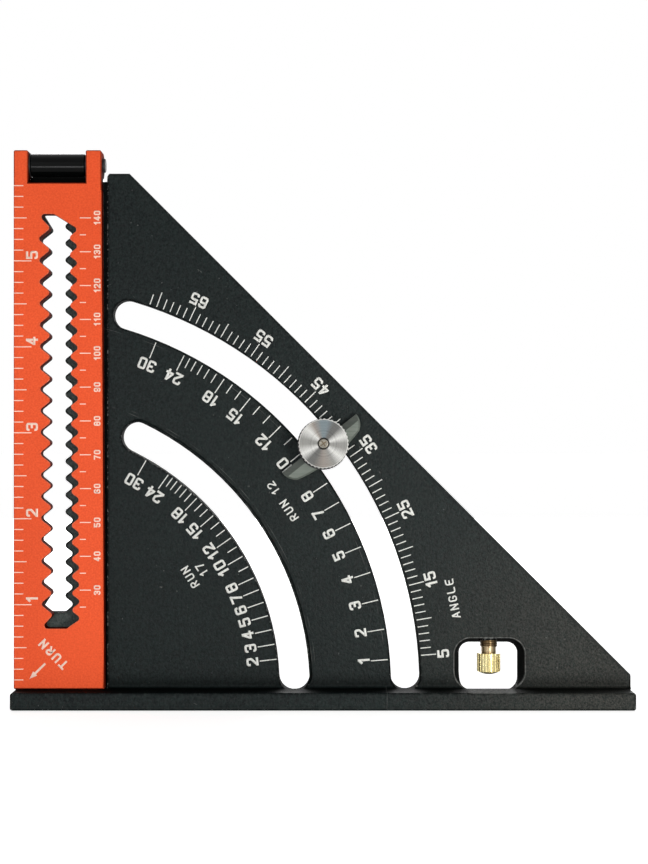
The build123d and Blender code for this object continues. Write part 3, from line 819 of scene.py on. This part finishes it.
def joinDrawings(name, body, parts, material):
    # one plain mesh for each body, from drawings and the place of each
    joined = bmesh.new()
    for mesh, place in parts:
        mesh.transform(place)
        joined.from_mesh(mesh)
        bpy.data.meshes.remove(mesh)
    bmesh.ops.recalc_face_normals(joined, faces=joined.faces)
    data = bpy.data.meshes.new(name)
    joined.to_mesh(data)
    joined.free()
    data.materials.append(material)
    piece = bpy.data.objects.new(name, data)
    scene.collection.objects.link(piece)
    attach(piece, body)
    return piece


# A plain squared stroke alphabet: runs of points on a unit cell, closed where the last is True
glyphs = {
    "0": [([(0, 0), (1, 0), (1, 1), (0, 1)], True)],
    "1": [([(0.8, 0), (0.8, 1)], False), ([(0.62, 0.93), (0.2, 0.76)], False)],
    "2": [([(0, 0.82), (0, 1), (1, 1), (1, 0.58), (0.1, 0.1)], False), ([(0, 0), (1, 0)], False)],
    "3": [
        ([(0, 0.87), (0, 1), (1, 1), (1, 0), (0, 0), (0, 0.13)], False),
        ([(0.45, 0.52), (0.9, 0.52)], False),
    ],
    "4": [
        ([(0.7, 0), (0.7, 1)], False),
        ([(0.58, 0.96), (0.06, 0.4)], False),
        ([(0, 0.27), (1, 0.27)], False),
    ],
    "5": [
        ([(0, 1), (0.92, 1)], False),
        ([(0, 0.93), (0, 0.66)], False),
        ([(0, 0.58), (1, 0.58), (1, 0), (0, 0), (0, 0.12)], False),
    ],
    "6": [([(1, 0.87), (1, 1), (0, 1), (0, 0), (1, 0), (1, 0.55), (0.2, 0.55)], False)],
    "7": [([(0, 1), (1, 1)], False), ([(0.9, 0.86), (0.42, 0)], False)],
    "8": [([(0, 0), (1, 0), (1, 1), (0, 1)], True), ([(0.2, 0.53), (0.8, 0.53)], False)],
    "9": [([(0, 0.13), (0, 0), (1, 0), (1, 1), (0, 1), (0, 0.45), (0.8, 0.45)], False)],
    "A": [
        ([(0, 0), (0.42, 0.96)], False),
        ([(0.58, 0.96), (1, 0)], False),
        ([(0.28, 0.3), (0.72, 0.3)], False),
    ],
    "E": [([(1, 1), (0, 1), (0, 0), (1, 0)], False), ([(0.15, 0.52), (0.8, 0.52)], False)],
    "G": [([(1, 0.85), (1, 1), (0, 1), (0, 0), (1, 0), (1, 0.46), (0.65, 0.46)], False)],
    "L": [([(0, 1), (0, 0), (1, 0)], False)],
    "N": [([(0, 0), (0, 1)], False), ([(0.1, 0.88), (0.9, 0.12)], False), ([(1, 0), (1, 1)], False)],
    "R": [([(0, 0), (0, 1), (1, 1), (1, 0.5), (0.2, 0.5)], False), ([(0.5, 0.42), (0.92, 0.06)], False)],
    "T": [([(0, 1), (1, 1)], False), ([(0.5, 0.85), (0.5, 0)], False)],
    "U": [([(0, 1), (0, 0), (1, 0), (1, 1)], False)],
}
narrowLetters = {"1": 0.79, " ": 0.7}

# Ink and letters, in millimetres
ink = {"depth": 0.07, "lift": 0.02, "strokeStep": 0.012, "tickWidth": 0.27, "cornerSteps": 3}
boldDigits = {"height": 3.56, "width": 2.4, "gap": 0.44, "stroke": 0.67, "corner": 0.37}
smallDigits = {"height": 2.0, "width": 1.3, "gap": 0.3, "stroke": 0.42, "corner": 0.3}
thinWords = {"height": 2.6, "width": 1.75, "gap": 0.75, "stroke": 0.42, "corner": 0.5}
boldWords = {"height": 2.85, "width": 2.05, "gap": 0.75, "stroke": 0.62, "corner": 0.5}
arrowFill = {"stroke": 0.33, "corner": 0.0}


def writeText(strokes, text, place, angle, style, align=0.5):
    # adds the strokes of a text whose middle (or start) is at place and which reads along angle
    widths = [style["width"] * narrowLetters.get(letter, 1.0) for letter in text]
    total = sum(widths) + style["gap"] * (len(text) - 1)
    along = Vector((cos(angle), sin(angle), 0))
    above = Vector((-sin(angle), cos(angle), 0))
    corner = Vector((*place, 0)) - along * total * align - above * style["height"] / 2
    pen = style["stroke"]
    for letter, width in zip(text, widths):
        for order, (run, closed) in enumerate(glyphs.get(letter, [])):
            # strokes that cross lie on slightly different levels
            lift = Vector((0, 0, order * ink["strokeStep"]))
            points = [
                corner
                + lift
                + along * (pen / 2 + x * (width - pen))
                + above * (pen / 2 + y * (style["height"] - pen))
                for x, y in run
            ]
            if not closed:
                # square ends reach half a pen past their points
                points[0] = points[0] + (points[0] - points[1]).normalized() * pen / 2
                points[-1] = points[-1] + (points[-1] - points[-2]).normalized() * pen / 2
            strokes.append((points, closed))
        corner = corner + along * (width + style["gap"])


def writeAround(strokes, text, radius, angle, style):
    # letters stand round the heel corner with their tops towards it
    place = (radius * cos(angle), radius * sin(angle))
    writeText(strokes, text, place, angle + pi / 2, style)


def strokeMesh(strokes, style, material):
    vertices = []
    edges = []
    for points, closed in strokes:
        first = len(vertices)
        vertices += [tuple(point) for point in points]
        edges += [(first + n, first + n + 1) for n in range(len(points) - 1)]
        if closed:
            edges.append((first + len(points) - 1, first))
    values = {"Corner": style["corner"], "CornerSteps": ink["cornerSteps"], "Width": style["stroke"]}
    values.update({"Thickness": ink["depth"], "Material": material})
    return runTree(trees["stroke"], values, vertices, edges)


# Ruler arm: inches along its left edge, millimetres beside its slot
armMarks = {
    "inchTicks": {
        "Count": 47, "First": 1, "Pitch": 3.175, "Start": 0.0, "Short": 2.9, "Middle": 3.85, "Long": 5.3,
        "MiddleEvery": 4.0, "LongEvery": 8.0,
    },
    "inchShift": -0.18,
    "inch": 25.4,
    "inchNumbers": range(1, 6),
    "inchNumberRight": 5.45,
    "inchNumberLift": 0.55,
    "metricTicks": {
        "Count": 24, "First": 5, "Pitch": 5.0, "Start": 19.6, "Short": 1.8, "Middle": 3.25, "Long": 3.25,
        "MiddleEvery": 2.0, "LongEvery": 2.0,
    },
    "metricShift": -0.48,
    "metricNumbers": range(30, 141, 10),
    "metricNumberRight": 24.7,
    "word": ("TURN", (11.8, 10.55), radians(134)),
    "arrow": ((9.4, 7.85), (4.75, 3.3)),
    "arrowHead": (2.31, 0.87),
}


def arrowStrokes():
    # a filled arrow, in strokes that lie side by side
    pen = arrowFill["stroke"]
    length, half = armMarks["arrowHead"]
    tail, tip = (Vector((*point, 0)) for point in armMarks["arrow"])
    forward = (tip - tail).normalized()
    across = Vector((-forward.y, forward.x, 0))
    strokes = []
    for side in (-pen / 2, pen / 2):
        strokes.append(([tail + across * side, tip - forward * length + across * side], False))
    for row in range(round(length / pen)):
        back = (row + 0.5) * pen
        middle = tip - forward * back
        reach = across * half * back / length
        strokes.append(([middle - reach, middle + reach], False))
    return strokes


def drawArm():
    place = frontPlace(square["armFront"] + ink["lift"])
    inchPlace = place @ Matrix.Translation((0, armMarks["inchShift"], 0))
    metricPlace = place @ Matrix.Translation((0, armMarks["metricShift"], 0))
    common = {"Width": ink["tickWidth"], "Thickness": ink["depth"], "Material": armInk}
    inches = runTree(trees["edge"], {**armMarks["inchTicks"], **common})
    metric = runTree(trees["edge"], {**armMarks["metricTicks"], **common})
    numbers = []
    for inch in armMarks["inchNumbers"]:
        up = inch * armMarks["inch"] + armMarks["inchNumberLift"]
        writeText(numbers, str(inch), (armMarks["inchNumberRight"], up), pi / 2, boldDigits, 0.0)
    small = []
    for length in armMarks["metricNumbers"]:
        writeText(small, str(length), (armMarks["metricNumberRight"], length), pi / 2, smallDigits)
    words = []
    writeText(words, *armMarks["word"], boldWords)
    parts = [
        (inches, inchPlace),
        (strokeMesh(numbers, boldDigits, armInk), inchPlace),
        (metric, metricPlace),
        (strokeMesh(small, smallDigits, armInk), metricPlace),
        (strokeMesh(words, boldWords, armInk), place),
        (strokeMesh(arrowStrokes(), arrowFill, armInk), place),
    ]
    return joinDrawings("armMarks", "arm", parts, armInk)


# Plate: degrees outside the outer slot, and rises for two runs inside the two slots
plateMarks = {
    "shift": radians(-0.32),
    "degrees": range(5, 72),
    "degreeLongEvery": 5,
    "degreeNumbers": range(5, 71, 10),
    "degreeRadius": 121.0,
    "degreeLengths": (3.1, 4.5),
    "degreeNumberRadius": 127.6,
    "outerRun": 12.0,
    "outerRadius": 111.0,
    "outerNumberRadius": 103.9,
    "outerNumbers": (1, 2, 3, 4, 5, 6, 7, 8, 10, 12, 15, 18, 24, 30),
    "innerRun": 16.97,
    "innerRadius": 78.1,
    "innerNumberRadius": 70.9,
    "innerNumbers": (2, 3, 4, 5, 6, 7, 8, 10, 12, 15, 18, 24, 30),
    "everyRiseTo": 24,
    "lastRise": 30,
    "riseLengths": (3.2, 5.0),
    "words": [("ANGLE", 132.7, 11.6), ("RUN 12", 97.0, 35.0), ("RUN", 61.6, 32.5), ("17", 65.7, 32.5)],
}


def drawPlate():
    place = frontPlace(square["plateFront"] + ink["lift"])
    shift = plateMarks["shift"]
    common = {"Width": ink["tickWidth"], "Thickness": ink["depth"], "Material": plateInk}
    parts = []
    numbers = []
    short, long = plateMarks["degreeLengths"]
    every = plateMarks["degreeLongEvery"]
    ticks = [(radians(n) + shift, short if n % every else long, 0) for n in plateMarks["degrees"]]
    values = {"Radius": plateMarks["degreeRadius"], "Inward": 0.0, **common}
    parts.append(runTree(trees["arc"], values, ticks))
    for n in plateMarks["degreeNumbers"]:
        writeAround(numbers, str(n), plateMarks["degreeNumberRadius"], radians(n) + shift, boldDigits)
    short, long = plateMarks["riseLengths"]
    for ring in ("outer", "inner"):
        marked = plateMarks[ring + "Numbers"]
        rises = [*range(marked[0], plateMarks["everyRiseTo"] + 1), plateMarks["lastRise"]]
        run = plateMarks[ring + "Run"]
        ticks = [(atan(n / run) + shift, long if n in marked else short, 0) for n in rises]
        values = {"Radius": plateMarks[ring + "Radius"], "Inward": 1.0, **common}
        parts.append(runTree(trees["arc"], values, ticks))
        for n in marked:
            angle = atan(n / run) + shift
            writeAround(numbers, str(n), plateMarks[ring + "NumberRadius"], angle, boldDigits)
    words = []
    for text, radius, angle in plateMarks["words"]:
        writeAround(words, text, radius, radians(angle), thinWords)
    parts += [strokeMesh(numbers, boldDigits, plateInk), strokeMesh(words, thinWords, plateInk)]
    return joinDrawings("plateMarks", "square", [(mesh, place) for mesh in parts], plateInk)


# Thread that shows between the screw's neck and its boss, and the staking on the stud's end
smallMetal = {
    "threadFloor": 12.32,
    "threadTop": 14.16,
    "threadTurns": 2.6,
    "threadSteps": 40,
    "threadRadius": 2.44,
    "threadRidge": 0.16,
    "ridgeSides": 8,
    "stakeForward": 12.1,
    "stakeCount": 4,
    "stakeTurn": pi / 5,
    "stakeFrom": 0.05,
    "stakeLength": 1.0,
    "stakeWidth": 0.24,
}


def cutThread():
    values = {
        "StepsPerTurn": smallMetal["threadSteps"],
        "RidgeSides": smallMetal["ridgeSides"],
        "Turns": smallMetal["threadTurns"],
        "Radius": smallMetal["threadRadius"],
        "Height": smallMetal["threadTop"] - smallMetal["threadFloor"],
        "Ridge": smallMetal["threadRidge"],
        "Material": threadBrass,
    }
    foot = Vector((screw.x, screw.y, heel.z + smallMetal["threadFloor"] * millimetre))
    place = Matrix.Translation(foot) @ Matrix.Scale(millimetre, 4)
    return joinDrawings("screwThread", "screw", [(runTree(trees["thread"], values), place)], threadBrass)


def stakeStud():
    count = smallMetal["stakeCount"]
    angles = [2 * pi * n / count + smallMetal["stakeTurn"] for n in range(count)]
    ticks = [(angle, smallMetal["stakeLength"], 0) for angle in angles]
    values = {"Radius": smallMetal["stakeFrom"], "Inward": 0.0, "Width": smallMetal["stakeWidth"]}
    values.update({"Thickness": ink["depth"], "Material": threadBrass})
    middle = (stud - heel) / millimetre
    place = frontPlace(smallMetal["stakeForward"]) @ Matrix.Translation((middle.x, middle.z, 0))
    mesh = runTree(trees["arc"], values, ticks)
    return joinDrawings("studStaking", "angle_stop", [(mesh, place)], threadBrass)


threadPiece = cutThread()
stakePiece = stakeStud()
print("thread and staking made:", len(threadPiece.data.polygons) + len(stakePiece.data.polygons), "faces")
armPiece = drawArm()
platePiece = drawPlate()
print("marks drawn on the arm:", len(armPiece.data.polygons), "faces")
print("marks drawn on the plate:", len(platePiece.data.polygons), "faces")


# Studio: white floor and surround, a soft lamp and a small one low at the right front, a small one low
# at the left, a fill, a lamp behind for the back of the square, and the photo's camera
studio = {
    "fill": 0.24,
    "shown": 1.0,
    "floorGrain": {"scale": (30, 30, 30)},
    "floorTones": ((0.86, 0.86, 0.86), (0.89, 0.89, 0.89)),
    "floorRoughness": 0.9,
    "floorGlow": 0.72,
    "floorHalf": 6.0,
    "floorDrop": 0.0002,
    "lamps": [
        ("keyLamp", (0.24, -0.50, 0.075), 0.14, 0.75, (1.0, 1.0, 1.0)),
        ("sheenLamp", (0.135, -0.25, 0.024), 0.04, 0.37, (1.0, 0.97, 0.90)),
        ("lowLamp", (-0.137, -0.40, 0.026), 0.05, 0.235, (1.0, 1.0, 1.0)),
        ("fillLamp", (-0.50, -0.9, 0.30), 0.6, 1.1, (1.0, 1.0, 1.0)),
        ("backLamp", (0.0, 1.0, 0.35), 0.7, 6.5, (1.0, 1.0, 1.0)),
    ],
    "aim": (0.0, 0.0, 0.08),
    "cameraPlace": (0.0003, -0.50575, 0.08145),
    "lens": 70.5,
    "sensor": 36.0,
    "clip": (0.01, 50.0),
}


def seenRays(tree):
    # 1 for what the camera sees, by itself, in a reflection or through glass
    rays = tree.nodes.new("ShaderNodeLightPath")
    seen = mathNode(tree, "MAXIMUM", rays.outputs["Is Camera Ray"], rays.outputs["Is Glossy Ray"])
    return mathNode(tree, "MAXIMUM", seen, rays.outputs["Is Transmission Ray"])


def whiteSurround():
    scene.world = bpy.data.worlds.new("surround")
    scene.world.use_nodes = True
    tree = scene.world.node_tree
    tree.nodes.clear()
    mix = tree.nodes.new("ShaderNodeMixShader")
    tree.links.new(seenRays(tree), mix.inputs["Fac"])
    for index, strength in ((1, studio["fill"]), (2, studio["shown"])):
        sky = tree.nodes.new("ShaderNodeBackground")
        sky.inputs["Color"].default_value = (*white, 1)
        sky.inputs["Strength"].default_value = strength
        tree.links.new(sky.outputs["Background"], mix.inputs[index])
    output = tree.nodes.new("ShaderNodeOutputWorld")
    tree.links.new(mix.outputs["Shader"], output.inputs["Surface"])


def paleFloor():
    material, tree, shader = newFinish("paleFloor")
    tone = twoTone(tree, grain(tree, **studio["floorGrain"]), studio["floorTones"])
    tree.links.new(tone, shader.inputs["Base Color"])
    shader.inputs["Roughness"].default_value = studio["floorRoughness"]
    glow = tree.nodes.new("ShaderNodeEmission")
    tree.links.new(times(tree, seenRays(tree), studio["floorGlow"]), glow.inputs["Strength"])
    both = tree.nodes.new("ShaderNodeAddShader")
    tree.links.new(shader.outputs["BSDF"], both.inputs[0])
    tree.links.new(glow.outputs["Emission"], both.inputs[1])
    tree.links.new(both.outputs["Shader"], tree.nodes["Material Output"].inputs["Surface"])
    half = studio["floorHalf"]
    corners = [(-half, -half, 0), (half, -half, 0), (half, half, 0), (-half, half, 0)]
    floorMesh = bpy.data.meshes.new("floor")
    floorMesh.from_pydata(corners, [], [(0, 1, 2, 3)])
    floorMesh.materials.append(material)
    floor = bpy.data.objects.new("floor", floorMesh)
    floor.location.z = -studio["floorDrop"]
    scene.collection.objects.link(floor)


def softLamps():
    for name, place, size, power, colour in studio["lamps"]:
        lamp = bpy.data.lights.new(name, "AREA")
        lamp.size = size
        lamp.energy = power
        lamp.color = colour
        holder = bpy.data.objects.new(name, lamp)
        holder.location = place
        holder.rotation_euler = (Vector(studio["aim"]) - Vector(place)).to_track_quat("-Z", "Y").to_euler()
        holder.visible_camera = False
        scene.collection.objects.link(holder)


def photoCamera():
    camera = bpy.data.cameras.new("photoCamera")
    camera.sensor_width = studio["sensor"]
    camera.lens = studio["lens"]
    camera.clip_start, camera.clip_end = studio["clip"]
    holder = bpy.data.objects.new("photoCamera", camera)
    holder.location = studio["cameraPlace"]
    holder.rotation_euler = (pi / 2, 0, 0)
    scene.collection.objects.link(holder)
    scene.camera = holder


whiteSurround()
paleFloor()
softLamps()
photoCamera()
print("studio ready")
